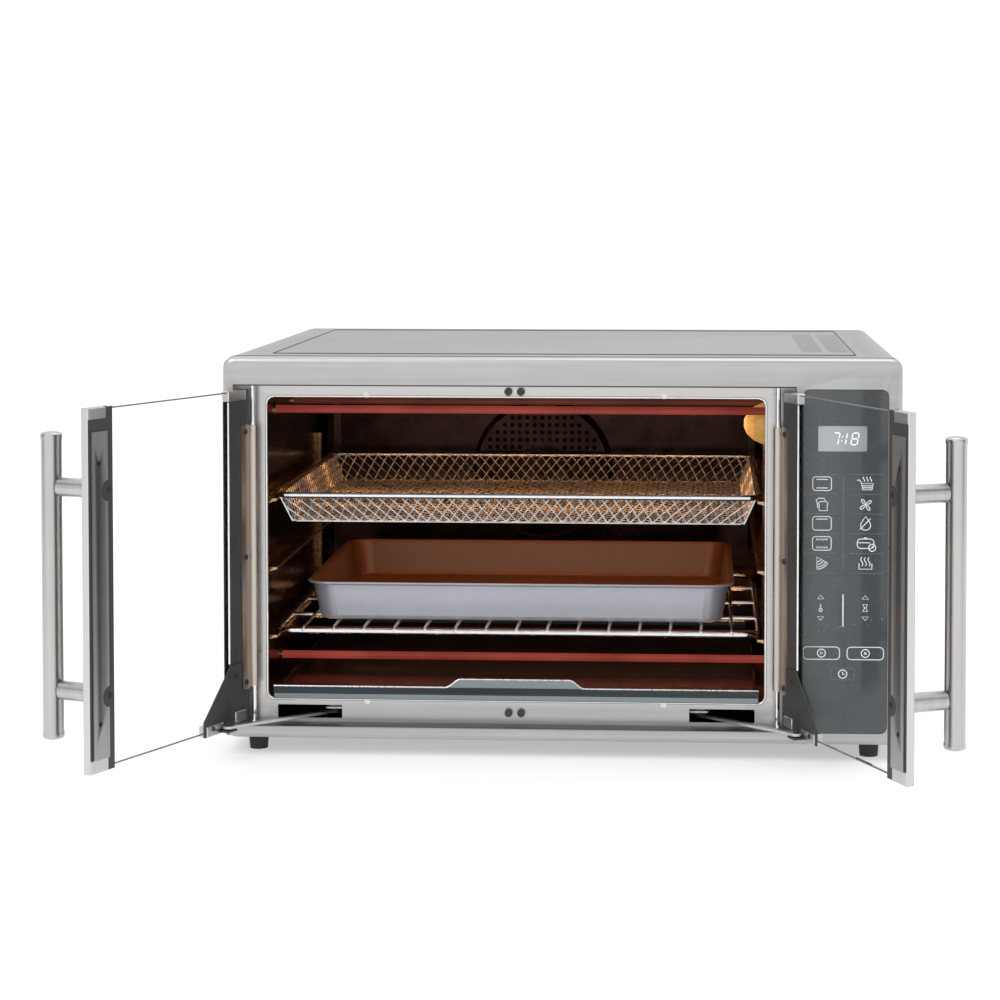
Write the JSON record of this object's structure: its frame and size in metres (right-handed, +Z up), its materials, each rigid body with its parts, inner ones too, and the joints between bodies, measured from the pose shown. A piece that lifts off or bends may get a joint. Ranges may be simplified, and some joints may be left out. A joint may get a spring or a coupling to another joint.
{
  "type": "toaster oven",
  "caption": "Countertop oven with two glass doors that swing open together, brushed steel body, touch control panel, wire rack, mesh basket, baking pan and slide-out crumb tray.",
  "frame": {"origin": "on the counter, under the middle of the whole object's box with its doors open", "axes": "+X to the right of someone facing the doors, +Y to the back, +Z up"},
  "size_m": [0.7378, 0.6688, 0.3443],
  "materials": {
    "brushed_steel": "brushed",
    "cavity_steel": "satin",
    "chrome_wire": "polished",
    "heater_metal": "satin",
    "black_paint": "satin",
    "black_plastic": "matte",
    "black_rubber": "matte",
    "slate_glass": "gloss",
    "door_glass": "clear",
    "lamp_glass": "clear",
    "display_grey": "gloss",
    "pan_coating": "satin",
    "circuit_board": "matte",
    "motor_metal": "satin"
  },
  "bodies": {
    "cabinet": {"outer_wrap": "brushed_steel", "front_bezel": "brushed_steel", "inner_frame": "brushed_steel", "cavity_liner": "cavity_steel", "base_plate": "cavity_steel", "rear_cover": "black_paint", "motor_cover": "black_paint", "foot_front_left": "black_rubber", "foot_rear_left": "black_rubber", "foot_front_right": "black_rubber", "foot_rear_right": "black_rubber", "rack_support_left": "cavity_steel", "rack_support_right": "cavity_steel", "upper_heater_front": "heater_metal", "upper_heater_middle": "heater_metal", "upper_heater_rear": "heater_metal", "lower_heater_front": "heater_metal", "lower_heater_rear": "heater_metal", "fan_cover": "cavity_steel", "fan_motor": "motor_metal", "lamp_socket": "motor_metal", "lamp_glass": "lamp_glass", "control_panel_glass": "slate_glass", "display_module": "display_grey", "panel_carrier": "black_plastic", "control_board": "circuit_board", "cord_gland": "black_rubber", "magnet_upper_left": "black_plastic", "magnet_upper_right": "black_plastic", "magnet_lower_left": "black_plastic", "magnet_lower_right": "black_plastic", "left_hinge_pin": "chrome_wire", "right_hinge_pin": "chrome_wire"},
    "left_door": {"left_door_glass": "door_glass", "left_door_hinge_stile": "black_paint", "left_door_latch_stile": "black_paint", "left_door_hinge_leaf": "brushed_steel", "left_door_hinge_foot": "black_paint", "left_door_latch_plate": "brushed_steel", "left_door_handle_bar": "brushed_steel", "left_door_handle_post_lower": "brushed_steel", "left_door_handle_post_upper": "brushed_steel"},
    "right_door": {"right_door_glass": "door_glass", "right_door_hinge_stile": "black_paint", "right_door_latch_stile": "black_paint", "right_door_hinge_leaf": "brushed_steel", "right_door_hinge_foot": "black_paint", "right_door_latch_plate": "brushed_steel", "right_door_handle_bar": "brushed_steel", "right_door_handle_post_lower": "brushed_steel", "right_door_handle_post_upper": "brushed_steel"},
    "left_link": {"left_door_link": "chrome_wire"},
    "right_link": {"right_door_link": "chrome_wire"},
    "sync_slider": {"sync_bar": "chrome_wire"},
    "fan": {"convection_fan": "cavity_steel"},
    "rack": {"wire_rack": "chrome_wire"},
    "pan": {"baking_pan": "pan_coating"},
    "basket": {"basket_rim": "chrome_wire", "basket_mesh": "chrome_wire"},
    "tray": {"crumb_tray": "chrome_wire"}
  },
  "joints": [
    {"name": "left_door_hinge", "type": "hinge", "parent": "cabinet", "child": "left_door", "pos_m": [-0.225, -0.1306, 0.1696], "axis": [0, 0, -1], "range_deg": [-114, 0]},
    {"name": "right_door_hinge", "type": "hinge", "parent": "cabinet", "child": "right_door", "pos_m": [0.225, -0.1306, 0.1696], "axis": [0, 0, 1], "range_deg": [-114, 0]},
    {"name": "left_link_pivot", "type": "hinge", "parent": "left_door", "child": "left_link", "pos_m": [-0.23965, -0.17334, 0.0307], "axis": [0, 0, -1], "range_deg": [0, 81]},
    {"name": "right_link_pivot", "type": "hinge", "parent": "right_door", "child": "right_link", "pos_m": [0.23965, -0.17334, 0.0307], "axis": [0, 0, 1], "range_deg": [0, 81]},
    {"name": "sync_bar_slide", "type": "slide", "parent": "cabinet", "child": "sync_slider", "axis": [0, 1, 0], "range_m": [0, 0.078]},
    {"name": "fan_spin", "type": "hinge", "parent": "cabinet", "child": "fan", "pos_m": [0, 0.25939, 0.2046], "axis": [0, 1, 0], "continuous": true},
    {"name": "wire_rack_slide", "type": "slide", "parent": "cabinet", "child": "rack", "axis": [0, -1, 0], "range_m": [0, 0.22]},
    {"name": "baking_pan_slide", "type": "slide", "parent": "rack", "child": "pan", "axis": [0, -1, 0], "range_m": [0, 0.36]},
    {"name": "air_fry_basket_slide", "type": "slide", "parent": "cabinet", "child": "basket", "axis": [0, -1, 0], "range_m": [0, 0.22]},
    {"name": "crumb_tray_slide", "type": "slide", "parent": "cabinet", "child": "tray", "axis": [0, -1, 0], "range_m": [0, 0.4]}
  ],
  "couplings": [
    {"joint": "right_door_hinge", "follows": "left_door_hinge", "ratio": 1},
    {"joint": "left_link_pivot", "follows": "left_door_hinge", "ratio": -0.71053},
    {"joint": "right_link_pivot", "follows": "left_door_hinge", "ratio": -0.71053},
    {"joint": "sync_bar_slide", "follows": "left_door_hinge", "m_per_rad": -0.039202}
  ]
}
